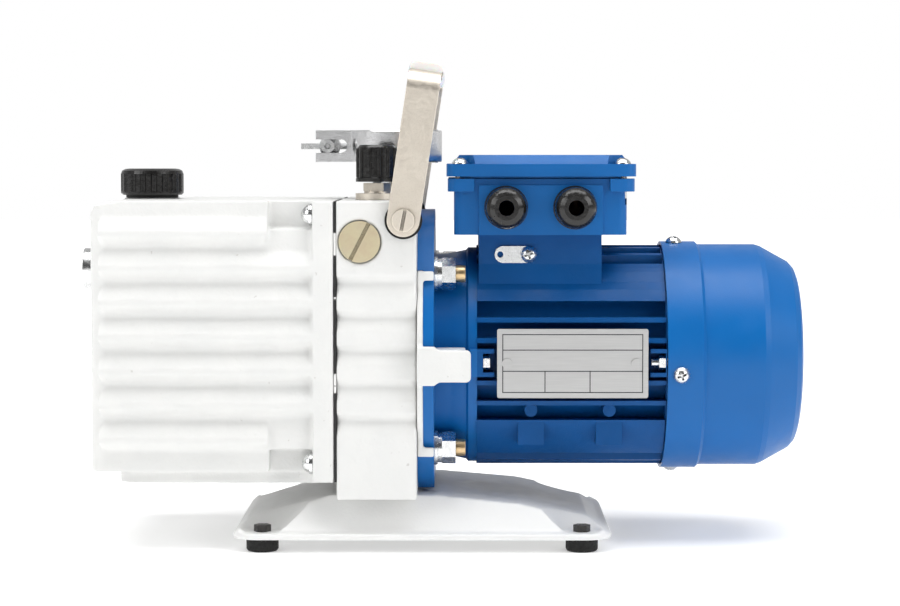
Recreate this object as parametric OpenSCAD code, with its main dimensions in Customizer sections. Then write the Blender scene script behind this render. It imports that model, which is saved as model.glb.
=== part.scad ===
// Two-stage rotary vane vacuum pump with a flange-mounted motor.
// +X runs from the oil case to the motor, +Z is up, and Z = 0 is the surface that the feet stand on.

/* [Shaft] */
// Height of the shaft above the surface
axis_z = 87.3; // [87:0.1:88]
// Diameter of the pump shaft
pump_shaft_d = 14; // [12:0.5:15]
// Diameter of the motor shaft
motor_shaft_d = 12; // [10:0.5:13]

/* [Pump block] */
// X of the block's face on the oil case side
block_x0 = -46.3; // [-47:0.1:-46]
// Length of the block along the shaft
block_len = 37; // [36:0.5:38]
// Half of the width of the block and of the oil case
half_w = 65; // [64:0.5:66]
// Height of the block's foot
block_z0 = 25.2; // [25:0.1:26]
// Height of the top of the block and of the oil case
top_z = 162.4; // [161:0.1:163]
// Distance from one rib to the next
rib_pitch = 15.8; // [15:0.1:16]

/* [Oil case] */
// Length of the oil case
case_len = 112.7; // [110:0.1:114]
// Wall of the oil case
case_wall = 4; // [3:0.5:5]
// How far the ribs stand out
rib_h = 4; // [3:0.5:5]
// Diameter of the filler cap
cap_d = 30; // [28:0.5:32]
// Height of the filler cap
cap_h = 12.6; // [11:0.1:13]

/* [Handle] */
// Distance from the pivot to the inner face of the handle's crossbar
handle_r = 66; // [65:0.5:67]
// Width of the handle's flat bar
handle_w = 15; // [14:0.5:16]
// Thickness of the handle's flat bar
handle_t = 3; // [2.5:0.5:3]
// Lean of the handle towards the motor
handle_lean = 8.5; // [0:0.5:12]

/* [Inlet] */
// Clear bore of the inlet
inlet_bore_d = 16; // [15:0.5:16.5]
// Outer diameter of the inlet flange
inlet_flange_d = 30; // [29.5:0.5:30]
// Outer diameter of the clamp
clamp_d = 45.6; // [44:0.2:46]
// Height of the clamp
clamp_h = 15; // [14:0.5:16]

/* [Motor] */
// Outer diameter of the motor flange
motor_flange_d = 140; // [138:1:140]
// Circle of the four flange studs
stud_pcd = 115; // [114:0.5:116]
// Length of the finned frame
frame_len = 87.7; // [86:0.1:89]
// Radius over the fins
fin_r = 52.7; // [52:0.1:53]
// Radius of the fan cowl's lip
cowl_r = 54.5; // [54.2:0.1:55]
// Length of the fan cowl
cowl_len = 64.4; // [62:0.1:66]

/* [Base] */
// Length of the base plate
base_len = 175.8; // [174:0.2:178]
// Half of the width of the base plate
base_half_w = 63; // [62:0.5:64]
// Height of the rubber feet
foot_h = 6; // [5:0.5:6]
// Thickness of the base plate
base_t = 3; // [2.5:0.5:3]

/* [Hidden] */
$fn = 64;
eps = 0.05;
gap = 0.3;
far = 400;
gasket_t = 1;
block_x1 = block_x0 + block_len;
case_x1 = block_x0 - gasket_t;
case_x0 = case_x1 - case_len;
case_flange_t = 10;
case_flange_x0 = case_x1 - case_flange_t;
wall_y = half_w - rib_h;
rib_z0 = axis_z - 35;
case_z0 = 38.5;
sump_z0 = 31.3;
case_flange_z0 = 33;
screw_y = 59.5;
screw_zs = [41.5, 156];
sight_z = 128.5;
drain_z = 49;
cap_x = case_x0 + 22.2;
plug_x = block_x0 + 10.8;
plug_z = 143.7;
inlet_x = -21.1;
inlet_face_z = 187.5;
clamp_z0 = inlet_face_z - clamp_h / 2;
clamp_z1 = inlet_face_z + clamp_h / 2;
clamp_r = clamp_d / 2;
clamp_pin_x = inlet_x + clamp_r - 3.4;
clamp_bolt_x = -52.7;
lug_x0 = -58.4;
lug_y = 10;
knuckle = [clamp_z0 + 4.8, clamp_z1 - 4.8];
ballast = [-28.4, -35];
pivot = [-15.4, 153.5];
leg_y = half_w + 2;
chamber_r = 24;
chamber_len = 26.7;
spigot_r = 47.5;
bore_r = 28.7;
drum_r = 25;
bore_drop = bore_r - drum_r;
slot_w = 5;
slot_r0 = 8.5;
vane_r0 = 12;
plate_t = 10;
high_len = 29.7;
mid_t = 6;
low_len = 18;
plate_x1 = block_x0;
high_x1 = plate_x1 - plate_t;
high_x0 = high_x1 - high_len;
low_x1 = high_x0 - mid_t;
low_x0 = low_x1 - low_len;
end_x0 = low_x0 - 8;
stage_top_z = 150;
stage_z0 = 46;
stage_half_w = 42;
duct = [5, 143];
pump_r = pump_shaft_d / 2;
motor_r = motor_shaft_d / 2;
jaw_r = 15;
jaw_in_r = 8;
jaw_x0 = block_x1 - 17.7;
jaw_x1 = jaw_x0 + 8.5;
seal_x0 = block_x0 + 2;
flange_r = motor_flange_d / 2;
flange_t = 7.7;
flange_x1 = block_x1 + flange_t;
lip_z = 38.4;
lip_t = 2.8;
stud_yz = stud_pcd / 2 * cos(45);
shield_x1 = flange_x1 + 19.9;
frame_x0 = shield_x1;
frame_x1 = frame_x0 + frame_len;
core_r = 44;
bore_frame_r = 38;
bearing_r = 16;
bearing_t = 10;
front_bearing_x = 4;
rear_bearing_x = frame_x1 + 1;
stack_x0 = frame_x0 + 19;
stack_len = 50;
rear_x1 = frame_x1 + 7;
cowl_x0 = frame_x1 + 0.5;
cowl_x1 = cowl_x0 + cowl_len;
cowl_wall = 1.5;
cowl_screw_x = cowl_x0 + 6.2;
cowl_turn = 5.8;
box_x = [7.6, 88];
box_half_w = 44;
box_z = [146.2, 172.3];
gasket_z = 1;
lid_z = box_z[1] + gasket_z;
lid_x = [4.1, 92.2];
lid_half_w = 47;
gland_xs = [31.7, 63.6];
gland_z = 159;
plate_y = 56.2;
rivet_xs = [32.2, 91.8];
shield_bolt_y = 50.4;
earth = [42.4, 49.6];
base_x0 = -95;
base_x1 = base_x0 + base_len;
foot_xs = [-81.2, 66.9];
foot_y = 53;
block_bolt_xs = [-40, -16];
block_bolt_y = 30;

// ---- helpers ----

// Round bar along X, Y or Z
module rod_x(x0, x1, r, y = 0, z = 0) {
    translate([x0, y, z]) rotate([0, 90, 0]) cylinder(h = x1 - x0, r = r);
}

module rod_y(y0, y1, r, x = 0, z = 0) {
    translate([x, y1, z]) rotate([90, 0, 0]) cylinder(h = y1 - y0, r = r);
}

module rod_z(z0, z1, r, x = 0, y = 0) {
    translate([x, y, z0]) cylinder(h = z1 - z0, r = r);
}

// Ring along X
module ring_x(x0, x1, r_out, r_in, y = 0, z = 0) {
    difference() {
        rod_x(x0, x1, r_out, y, z);
        rod_x(x0 - 1, x1 + 1, r_in, y, z);
    }
}

// Ring along Z
module ring_z(z0, z1, r_out, r_in, x = 0, y = 0) {
    difference() {
        rod_z(z0, z1, r_out, x, y);
        rod_z(z0 - 1, z1 + 1, r_in, x, y);
    }
}

// Box from its lowest to its highest corner
module block(low, high) {
    translate(low) cube(high - low);
}

// Outline in Y and Z, drawn out along X
module prism_x(x0, x1) {
    translate([x0, 0, 0]) rotate([90, 0, 90]) linear_extrude(x1 - x0) children();
}

// Outline in X and Z, drawn out along Y
module prism_y(y0, y1) {
    translate([0, y1, 0]) rotate([90, 0, 0]) linear_extrude(y1 - y0) children();
}

// Rectangle with round corners, from its lowest to its highest corner
module round_rect(low, high, r) {
    translate([low[0] + r, low[1]]) square([high[0] - low[0] - 2 * r, high[1] - low[1]]);
    translate([low[0], low[1] + r]) square([high[0] - low[0], high[1] - low[1] - 2 * r]);
    for (x = [low[0] + r, high[0] - r])
        for (y = [low[1] + r, high[1] - r])
            translate([x, y]) circle(r);
}

// The same thing on both sides of the pump
module both_sides() {
    children();
    mirror([0, 1, 0]) children();
}

// Pan head screw with a cross recess: the head's seat is at Z = 0 and the shank points down
module pan_screw(head_d, head_h, shank_d, shank_l) {
    cap_r = (head_d * head_d / 4 + head_h * head_h) / (2 * head_h);
    difference() {
        intersection() {
            translate([0, 0, head_h - cap_r]) sphere(r = cap_r);
            cylinder(h = head_h, r = head_d / 2);
        }
        for (turn = [20, 110])
            rotate([0, 0, turn])
                translate([-head_d * 0.27, -head_d * 0.06, head_h * 0.35])
                    cube([head_d * 0.54, head_d * 0.12, head_h]);
    }
    translate([0, 0, -shank_l]) cylinder(h = shank_l + 0.3, r = shank_d / 2);
}

// Hexagonal prism along X, across_flats wide
module hex_x(x0, x1, across_flats, y, z) {
    translate([x0, y, z]) rotate([0, 90, 0])
        cylinder(h = x1 - x0, r = across_flats / sqrt(3), $fn = 6);
}

// Places a child at each flange stud
module at_studs() {
    for (y = [-stud_yz, stud_yz])
        for (z = [axis_z - stud_yz, axis_z + stud_yz])
            translate([0, y, z]) children();
}

// Places a child, head outwards along -X, at each case screw
module at_case_screws() {
    for (y = [-screw_y, screw_y])
        for (z = screw_zs)
            translate([case_flange_x0, y, z]) rotate([0, -90, 0]) children();
}

// ---- base ----

// Outline of the base seen from the side, inset by t
module base_side(t) {
    polygon([
        [base_x0 + t, foot_h - t], [base_x0 + t, foot_h + 2.5 - t], [base_x0 + 5 + t, foot_h + 6.5 - t],
        [base_x0 + 16 + t, foot_h + 10.5 - t], [base_x0 + 45 + t, block_z0 - t], [0, block_z0 - t],
        [38 - t / 2, block_z0 - 3.6 - t], [70 - t, block_z0 - 10.6 - t], [base_x1 - 4 - t, foot_h + 4 - t],
        [base_x1 - t, foot_h + 2.5 - t], [base_x1 - t, foot_h - t]]);
}

// Outline of the base seen from the end, inset by t
module base_end(t) {
    w = base_half_w - t;
    polygon([
        [-w, foot_h - t], [-w, foot_h + 3 - t], [-w + 4, foot_h + 3.4 - t], [-w + 15, block_z0 - t],
        [w - 15, block_z0 - t], [w - 4, foot_h + 3.4 - t], [w, foot_h + 3 - t], [w, foot_h - t]]);
}

module base_form(t) {
    intersection() {
        prism_y(-base_half_w - 1, base_half_w + 1) base_side(t);
        prism_x(base_x0 - 1, base_x1 + 1) base_end(t);
        linear_extrude(far)
            round_rect([base_x0 + t, -base_half_w + t], [base_x1 - t, base_half_w - t], 12 - t);
    }
}

// Dishes that the foot bolts stand in, grown by t
module foot_dishes(t) {
    for (x = foot_xs)
        for (y = [-foot_y, foot_y])
            translate([x, y, foot_h + base_t - t]) cylinder(h = 30, r1 = 8.5 + t, r2 = 38.5 + t);
}

module base_plate() {
    color("whitesmoke")
    difference() {
        base_form(0);
        foot_dishes(0);
        difference() {
            base_form(base_t);
            foot_dishes(base_t);
        }
        for (x = foot_xs)
            for (y = [-foot_y, foot_y])
                rod_z(0, far, 2.2, x, y);
        for (x = block_bolt_xs)
            for (y = [-block_bolt_y, block_bolt_y])
                rod_z(0, far, 2.2, x, y);
    }
}

module rubber_feet() {
    color("black")
    for (x = foot_xs)
        for (y = [-foot_y, foot_y])
            translate([x, y, 0])
                difference() {
                    rotate_extrude()
                        polygon([[0, 0], [6.6, 0], [7.5, 1], [7.5, foot_h], [0, foot_h]]);
                    rod_z(2, far, 2.05);
                }
}

module base_bolts() {
    color("dimgray") {
        for (x = foot_xs)
            for (y = [-foot_y, foot_y])
                translate([x, y, 0]) {
                    rod_z(2.2, foot_h + base_t + 1, 2);
                    translate([0, 0, foot_h + base_t]) cylinder(h = 3.2, r = 7 / sqrt(3), $fn = 6);
                }
        for (x = block_bolt_xs)
            for (y = [-block_bolt_y, block_bolt_y])
                translate([x, y, 0]) {
                    rod_z(block_z0 - base_t - 1, block_z0 + 11, 2);
                    translate([0, 0, block_z0 - base_t - 3.2]) cylinder(h = 3.2, r = 7 / sqrt(3), $fn = 6);
                }
    }
}

// ---- pump block ----

// Sawtooth groove in the side of the block whose upper edge is at z
module block_groove(z) {
    both_sides()
        prism_x(block_x0 - 1, block_x1 + 1)
            polygon([
                [-half_w - 1, z], [-half_w, z], [-half_w + 2.4, z - 2.2], [-half_w + 2.4, z - 3.4],
                [-half_w, z - 9.5], [-half_w - 1, z - 9.5]]);
}

module pump_block() {
    color("whitesmoke")
    difference() {
        block([block_x0, -half_w, block_z0], [block_x1, half_w, top_z]);
        for (i = [0 : 4])
            block_groove(axis_z + 40.5 - i * rib_pitch);
        // coupling chamber, spigot recess and seal seat
        rod_x(block_x1 - chamber_len, far, chamber_r, 0, axis_z);
        rod_x(block_x1 - 3.2, far, spigot_r + 0.1, 0, axis_z);
        rod_x(seal_x0, 0, 11.05, 0, axis_z);
        rod_x(-far, 0, pump_r + 1, 0, axis_z);
        // inlet, its cross duct and the ballast duct
        rod_z(136, far, inlet_bore_d / 2, inlet_x, 0);
        rod_x(-far, inlet_x, 5, duct[0], duct[1]);
        rod_z(134, far, 4, ballast[0], ballast[1]);
        // seat of the side plug
        rod_y(-half_w - 1, -half_w + 2, 9.8, plug_x, plug_z);
        rod_y(-half_w - 1, -half_w + 15, 7.05, plug_x, plug_z);
        both_sides()
            rod_y(-half_w - 1, -half_w + 14, 3.05, pivot[0], pivot[1]);
        at_studs()
            rod_x(block_x1 - 18, far, 4.05);
        for (y = [-screw_y, screw_y])
            for (z = screw_zs)
                rod_x(-far, block_x0 + 11, 2.55, y, z);
        for (x = block_bolt_xs)
            for (y = [-block_bolt_y, block_bolt_y])
                rod_z(0, block_z0 + 12, 2.05, x, y);
    }
}

// ---- oil case ----

// One rib of the case between x0 and x1, with its ridge at z
module case_rib(z, x0, x1) {
    both_sides()
        intersection() {
            prism_x(x0, x1)
                polygon([
                    [-wall_y + 1, z + 8.6], [-wall_y, z + 8.6], [-half_w, z + 1.2], [-half_w, z - 1],
                    [-wall_y, z - 5], [-wall_y + 1, z - 5]]);
            prism_y(-half_w - 1, 0)
                round_rect([x0, z - 5], [x1, z + 8.6], 5);
        }
}

// Corner blocks of the case that carry the screws, beyond y0 on both sides, seen from the end
module corner(z0, z1, y0) {
    w = half_w + 5 - y0;
    for (y = [-y0 - w, y0])
        translate([y, z0]) square([w, z1 - z0]);
}

module oil_case() {
    rib_x0 = case_x0 + 4.4;
    pocket_x0 = case_flange_x0 - 20;
    inner_y = wall_y - case_wall;
    color("whitesmoke")
    difference() {
        union() {
            intersection() {
                linear_extrude(far) {
                    round_rect([case_x0, -wall_y], [case_x1 - 30, wall_y], 8);
                    translate([case_x1 - 50, -wall_y]) square([50, 2 * wall_y]);
                }
                prism_y(-half_w, half_w)
                    polygon([
                        [case_x0, case_z0], [case_x0 + 1, case_z0 - 1], [case_x1, case_z0 - 1],
                        [case_x1, top_z], [case_x0 + 11, top_z], [case_x0 + 2.5, top_z - 2.5],
                        [case_x0, top_z - 6.5]]);
            }
            // sump
            translate([0, 0, sump_z0])
                linear_extrude(case_z0 - sump_z0)
                    round_rect([case_x0 + 12, -wall_y + 8], [case_x1 - 2, wall_y - 8], 9);
            block([case_flange_x0, -half_w, case_flange_z0], [case_x1, half_w, top_z]);
            for (i = [0 : 6])
                case_rib(rib_z0 + i * rib_pitch, rib_x0, i == 0 || i == 6 ? pocket_x0 : case_x1 - 4);
            // bosses of the filler and of the drain
            rod_z(top_z - 5, top_z + 0.6, 13, cap_x, 0);
            rod_x(case_x0 - 0.8, case_x0 + 6, 11.5, 0, drain_z);
        }
        // pockets for the screw heads
        prism_x(pocket_x0, case_flange_x0)
            corner(top_z - 13, top_z + 9, 54);
        prism_x(pocket_x0, case_flange_x0)
            corner(case_flange_z0 - 9, case_flange_z0 + 15, 54);
        // cavity
        difference() {
            union() {
                translate([0, 0, case_z0 + case_wall])
                    linear_extrude(top_z - case_z0 - 2 * case_wall) {
                        round_rect([case_x0 + case_wall, -inner_y], [case_x1 - 20, inner_y], 5);
                        translate([case_x1 - 40, -inner_y]) square([50, 2 * inner_y]);
                    }
                translate([0, 0, sump_z0 + case_wall])
                    linear_extrude(case_wall + 5)
                        round_rect([case_x0 + 16, -wall_y + 12], [case_x1 - 12, wall_y - 12], 5);
            }
            prism_x(pocket_x0 - case_wall, far) {
                corner(top_z - 17, top_z, 50);
                corner(case_flange_z0, case_flange_z0 + 19, 50);
            }
        }
        for (y = [-screw_y, screw_y])
            for (z = screw_zs)
                rod_x(case_flange_x0 - 1, case_x1 + 1, 2.7, y, z);
        rod_x(case_x0 - 5, case_x0 + 8, 8.05, 0, sight_z);
        rod_x(case_x0 - 5, case_x0 + 12, 7.05, 0, drain_z);
        rod_z(top_z - 10, top_z + 5, 9.05, cap_x, 0);
    }
}

module case_gasket() {
    color("black")
    prism_x(case_x1, block_x0)
        difference() {
            translate([-half_w + 0.3, case_flange_z0 + 0.3])
                square([2 * half_w - 0.6, top_z - case_flange_z0 - 0.6]);
            difference() {
                translate([-wall_y + case_wall, case_z0 + case_wall])
                    square([2 * (wall_y - case_wall), top_z - case_z0 - 2 * case_wall]);
                corner(top_z - 17, top_z, 50);
                corner(case_flange_z0, case_flange_z0 + 19, 50);
            }
            for (y = [-screw_y, screw_y])
                for (z = screw_zs)
                    translate([y, z]) circle(2.7);
        }
}

module case_screws() {
    color("silver")
    at_case_screws() {
        translate([0, 0, 1.6]) pan_screw(9, 3.6, 5, case_flange_t + gasket_t + 11);
        difference() {
            cylinder(h = 1.6, r = 5);
            translate([0, 0, -1]) cylinder(h = 4, r = 2.6);
        }
    }
}

module sight_glass_bezel() {
    color("silver")
    translate([case_x0, 0, sight_z]) rotate([0, -90, 0])
        difference() {
            union() {
                translate([0, 0, -5]) cylinder(h = 6, r = 8);
                cylinder(h = 5, r = 11.5 / cos(30), $fn = 6);
                cylinder(h = 10.6, r = 10);
            }
            translate([0, 0, -6]) cylinder(h = 20, r = 5.5);
            translate([0, 0, 2]) cylinder(h = 20, r = 7.5);
        }
}

module sight_glass_lens() {
    color("lightcyan", 0.5)
    translate([case_x0, 0, sight_z]) rotate([0, -90, 0])
        rotate_extrude()
            polygon([[0, 2], [7.45, 2], [7.45, 8.4], [6.5, 9.4], [4, 10.2], [0, 10.5]]);
}

// ---- filler cap ----

module oil_cap() {
    cap_z0 = top_z + 1.8;
    flute_n = 18;
    color("black")
    translate([cap_x, 0, cap_z0]) {
        difference() {
            rotate_extrude() {
                polygon([
                    [0, 0], [cap_d / 2 - 0.8, 0], [cap_d / 2, 0.8], [cap_d / 2, cap_h - 2.6],
                    [cap_d / 2 - 0.6, cap_h - 1], [cap_d / 2 - 2.2, cap_h - 0.2],
                    [cap_d / 2 - 4, cap_h], [0, cap_h]]);
            }
            for (i = [0 : flute_n - 1])
                rotate([0, 0, i * 360 / flute_n])
                    rod_z(1.6, cap_h - 2.6, 1.7, cap_d / 2 + 0.7, 0);
        }
        translate([0, 0, -12]) cylinder(h = 12, r = 9);
    }
}

module cap_seal() {
    color("black")
    ring_z(top_z + 0.6, top_z + 1.8, 12.5, 9.3, cap_x, 0);
}

// ---- plugs ----

// Slotted plug, flush on Z = 0 with its shank down
module slotted_plug(turn) {
    difference() {
        union() {
            translate([0, 0, -2]) cylinder(h = 2.6, r = 9.5);
            translate([0, 0, -13]) cylinder(h = 12, r = 7);
        }
        rotate([0, 0, turn]) translate([-12, -0.9, -1.4]) cube([24, 1.8, 4]);
    }
}

module screw_plugs() {
    color("darkkhaki") {
        translate([plug_x, -half_w, plug_z]) rotate([90, 0, 0]) slotted_plug(63);
        translate([case_x0 - 2.8, 0, drain_z]) rotate([0, -90, 0]) slotted_plug(20);
    }
}

// ---- handle ----

// Places what is drawn upright at the pivot, leaning as the handle does
module at_handle() {
    translate([pivot[0], 0, pivot[1]]) rotate([0, handle_lean, 0]) children();
}

// U-shaped outline of the bar seen along the crossbar's width, grown by t
module bail_band() {
    out_y = leg_y + handle_t;
    out_z = handle_r + handle_t;
    difference() {
        round_rect([-out_y, -60], [out_y, out_z], 9);
        round_rect([-leg_y, -70], [leg_y, handle_r], 6);
    }
}

module handle() {
    color("tan")
    at_handle()
        difference() {
            intersection() {
                prism_x(-handle_w, handle_w) bail_band();
                prism_y(-far / 2, far / 2) {
                    circle(handle_w / 2);
                    translate([-handle_w / 2, 0]) square([handle_w, handle_r + 10]);
                }
            }
            rod_y(-far / 2, far / 2, 4.05);
        }
}

module handle_grip() {
    bar_z = handle_r + handle_t / 2;
    color("white")
    at_handle()
        difference() {
            prism_y(-52, 52)
                round_rect([-8, bar_z - 3], [8, bar_z + 5.5], 3);
            block([-handle_w / 2, -60, handle_r], [handle_w / 2, 60, handle_r + handle_t]);
        }
}

module handle_screws() {
    out_y = leg_y + handle_t + 0.2;
    color("wheat")
    both_sides()
        difference() {
            union() {
                rod_y(-out_y - 2.8, -out_y, 5.2, pivot[0], pivot[1]);
                rod_y(-out_y - 1, -half_w, 4, pivot[0], pivot[1]);
                rod_y(-half_w - 1, -half_w + 12, 3, pivot[0], pivot[1]);
            }
            translate([pivot[0], -out_y - 2.8, pivot[1]]) rotate([0, 11, 0])
                cube([1.5, 3.6, 14], center = true);
        }
}

module handle_washers() {
    color("black")
    both_sides()
        difference() {
            rod_y(-leg_y + 0.2, -half_w, 8.6, pivot[0], pivot[1]);
            rod_y(-leg_y - 1, -half_w + 1, 4.1, pivot[0], pivot[1]);
        }
}

// ---- inlet and its clamp ----

module inlet_port() {
    flange_or = inlet_flange_d / 2;
    color("silver")
    translate([inlet_x, 0, 0])
        difference() {
            rotate_extrude()
                polygon([
                    [0, top_z], [12, top_z], [12, top_z + 2.5], [10, top_z + 2.5], [10, inlet_face_z - 4.4],
                    [flange_or, inlet_face_z - 3.1], [flange_or, inlet_face_z], [0, inlet_face_z]]);
            rod_z(0, far, inlet_bore_d / 2);
            rod_z(inlet_face_z - 2.5, far, 8.6);
        }
}

module centring_ring() {
    color("silver")
    translate([inlet_x, 0, 0])
        difference() {
            union() {
                rod_z(inlet_face_z - 2.5, inlet_face_z + 4.6, 8.55);
                rod_z(inlet_face_z, inlet_face_z + 2.6, 9.4);
            }
            rod_z(0, far, inlet_bore_d / 2);
        }
}

module inlet_o_ring() {
    color("black")
    translate([inlet_x, 0, inlet_face_z])
        difference() {
            rotate_extrude() translate([11.2, 1.9]) circle(1.9);
            rod_z(-10, 10, 9.4);
            rod_z(-10, 0, 20);
        }
}

// Full ring of the clamp with its inner groove
module clamp_ring() {
    translate([inlet_x, 0, inlet_face_z])
        rotate_extrude()
            polygon([
                [12.2, -clamp_h / 2], [clamp_r - 0.6, -clamp_h / 2], [clamp_r, -clamp_h / 2 + 0.6],
                [clamp_r, clamp_h / 2 - 0.6], [clamp_r - 0.6, clamp_h / 2], [12.2, clamp_h / 2],
                [12.2, 5.2], [15.6, 3.4], [15.6, -3.4], [12.2, -5.2]]);
}

// Half of the clamp on the -Y side: own_zs are its knuckles, other_zs those of its partner
module clamp_half(own_zs, other_zs, knuckle_r) {
    difference() {
        union() {
            intersection() {
                clamp_ring();
                block([-far, -far, 0], [far, -0.5, far]);
            }
            block([lug_x0, -lug_y, clamp_z0], [inlet_x - 16.5, -0.8, clamp_z1]);
            for (s = own_zs)
                rod_z(s[0], s[1], knuckle_r, clamp_pin_x, 0);
        }
        for (s = other_zs)
            rod_z(s[0] - 0.1, s[1] + 0.1, 3.6, clamp_pin_x, 0);
        rod_z(0, far, 1.52, clamp_pin_x, 0);
        // fork for the clamp bolt, open at the end
        block([lug_x0 - 1, -lug_y - 1, inlet_face_z - 3.2], [clamp_bolt_x + 6.2, 0, inlet_face_z + 3.2]);
        rod_y(-lug_y - 1, 0, 3.2, clamp_bolt_x + 6.2, inlet_face_z);
    }
}

module clamp_front_half() {
    color("silver")
    clamp_half([[clamp_z0, knuckle[0]], [knuckle[1], clamp_z1]], [knuckle], 3.2);
}

module clamp_rear_half() {
    color("silver")
    mirror([0, 1, 0])
        clamp_half([knuckle], [[clamp_z0 - 1, knuckle[0]], [knuckle[1], clamp_z1 + 1]], 2.5);
}

module clamp_hinge_pin() {
    color("gray")
    rod_z(clamp_z0 - 0.4, clamp_z1 + 0.4, 1.5, clamp_pin_x, 0);
}

module clamp_bolt() {
    color("gray") {
        translate([clamp_bolt_x, -lug_y + 3, inlet_face_z]) rotate([90, 0, 0])
            difference() {
                cylinder(h = 4.4, r = 3.1);
                translate([0, 0, 2.6]) cylinder(h = 4, r = 1.6, $fn = 6);
            }
        rod_y(-lug_y + 2, lug_y + 17, 2.45, clamp_bolt_x, inlet_face_z);
    }
}

module clamp_washer() {
    color("silver")
    difference() {
        rod_y(lug_y + 0.1, lug_y + 1.3, 5.2, clamp_bolt_x, inlet_face_z);
        rod_y(0, far, 2.55, clamp_bolt_x, inlet_face_z);
    }
}

module wing_nut() {
    hub_y0 = lug_y + 1.4;
    color("silver")
    difference() {
        union() {
            rod_y(hub_y0, hub_y0 + 7, 5, clamp_bolt_x, inlet_face_z);
            for (side = [-1, 1])
                translate([clamp_bolt_x, hub_y0, inlet_face_z - 1.4])
                    linear_extrude(2.8)
                        polygon([
                            [side * 3, 1], [side * 8, 1.6], [side * 11.4, 4.4], [side * 14.6, 8.4],
                            [side * 14.6, 11.6], [side * 12.6, 12.8], [side * 9.4, 11.2], [side * 6.4, 7.6],
                            [side * 3, 6.6]]);
        }
        rod_y(0, far, 2.5, clamp_bolt_x, inlet_face_z);
    }
}

// ---- gas ballast ----

module ballast_body() {
    color("tan")
    translate([ballast[0], ballast[1], 0])
        difference() {
            union() {
                rod_z(top_z, top_z + 3, 10);
                rod_z(top_z + 3, top_z + 4, 6);
                translate([0, 0, top_z + 4]) cylinder(h = 3.8, r = 11 / sqrt(3), $fn = 6);
                rod_z(top_z - 14, top_z + 1, 3.95);
            }
            rod_z(top_z - 15, far, 2.05);
        }
}

module ballast_stem() {
    color("silver")
    translate([ballast[0], ballast[1], 0]) {
        rod_z(top_z - 12, top_z + 22.5, 2);
    }
}

module ballast_knob() {
    knob_z0 = top_z + 8.4;
    knob_h = 17.2;
    knob_r = 9.6;
    lobe_n = 12;
    color("black")
    translate([ballast[0], ballast[1], knob_z0])
        difference() {
            union() {
                rotate_extrude()
                    polygon([
                        [0, 0], [knob_r + 0.3, 0], [knob_r + 0.3, 1.6], [knob_r - 0.7, 2.2],
                        [knob_r - 0.7, knob_h - 1.2], [knob_r - 1.8, knob_h], [0, knob_h]]);
                for (i = [0 : lobe_n - 1])
                    rotate([0, 0, i * 360 / lobe_n + 8])
                        rod_z(2, knob_h - 1.6, 1.1, knob_r - 0.9, 0);
            }
            rod_z(-1, 3, 7.2);
            rod_z(-1, knob_h - 3, 2.05);
        }
}

// ---- pump stages ----

// Outline of the stage castings in Y and Z
module stage_outline() {
    round_rect([-stage_half_w, stage_z0], [stage_half_w, stage_top_z], 10);
}

module stage_bore() {
    translate([0, axis_z - bore_drop]) circle(bore_r);
}

module stator_high_stage() {
    color("slategray")
    difference() {
        prism_x(high_x0, high_x1)
            difference() {
                stage_outline();
                stage_bore();
            }
        rod_x(high_x1 - 14, high_x1 + 1, 5, duct[0], duct[1]);
        rod_z(axis_z, duct[1], 4, high_x1 - 9, duct[0] + 4);
    }
}

module stator_low_stage() {
    color("slategray")
    difference() {
        prism_x(low_x0, low_x1)
            difference() {
                stage_outline();
                stage_bore();
            }
        for (y = [-14, -7])
            rod_z(axis_z, far, 1.8, (low_x0 + low_x1) / 2, y);
    }
}

module stator_plates() {
    color("darkslategray")
    for (span = [[high_x1, plate_x1], [low_x1, high_x0], [end_x0, low_x0]])
        difference() {
            prism_x(span[0], span[1]) stage_outline();
            rod_x(-far, 0, pump_r + eps, 0, axis_z);
            if (span[1] == plate_x1)
                rod_x(-far, 0, 5, duct[0], duct[1]);
        }
}

module pump_rotor() {
    color("lightgray")
    difference() {
        union() {
            rod_x(end_x0 + 1, jaw_x0 - 1, pump_r, 0, axis_z);
            rod_x(high_x0 + 0.1, high_x1 - 0.1, drum_r - gap, 0, axis_z);
            rod_x(low_x0 + 0.1, low_x1 - 0.1, drum_r - gap, 0, axis_z);
        }
        for (side = [-1, 1])
            for (span = [[high_x0, high_x1], [low_x0, low_x1]])
                translate([span[0], side * 2 * slot_r0 - slot_r0, axis_z - slot_w / 2])
                    cube([span[1] - span[0], 2 * slot_r0, slot_w]);
    }
}

module vanes() {
    color("saddlebrown")
    for (side = [-1, 1])
        for (span = [[high_x0, high_x1], [low_x0, low_x1]])
            translate([span[0] + 0.15, side * (drum_r + vane_r0 - gap) / 2, axis_z])
                translate([0, -(drum_r - gap - vane_r0) / 2, -slot_w / 2 + eps])
                    cube([span[1] - span[0] - 0.3, drum_r - gap - vane_r0, slot_w - 2 * eps]);
}

module vane_springs() {
    color("silver")
    for (side = [-1, 1])
        for (x = [high_x0 + 8, high_x1 - 8, low_x0 + 5, low_x1 - 5])
            translate([x, 0, axis_z]) rotate([side * 90, 0, 0])
                translate([0, 0, slot_r0])
                    difference() {
                        cylinder(h = vane_r0 - slot_r0, r = 1.8);
                        translate([0, 0, -1]) cylinder(h = 10, r = 1);
                    }
}

module exhaust_valve() {
    valve_x = (low_x0 + low_x1) / 2;
    color("steelblue") {
        block([valve_x - 5, -22, stage_top_z], [valve_x + 5, 6, stage_top_z + 0.4]);
        block([valve_x - 5, -22, stage_top_z + 0.4], [valve_x + 5, -16, stage_top_z + 1.6]);
        block([valve_x - 5, 1, stage_top_z + 0.4], [valve_x + 5, 6, stage_top_z + 3.4]);
        block([valve_x - 5, -22, stage_top_z + 1.6], [valve_x + 5, -18, stage_top_z + 3.4]);
        block([valve_x - 5, -22, stage_top_z + 3.4], [valve_x + 5, 6, stage_top_z + 4.6]);
    }
}

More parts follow.
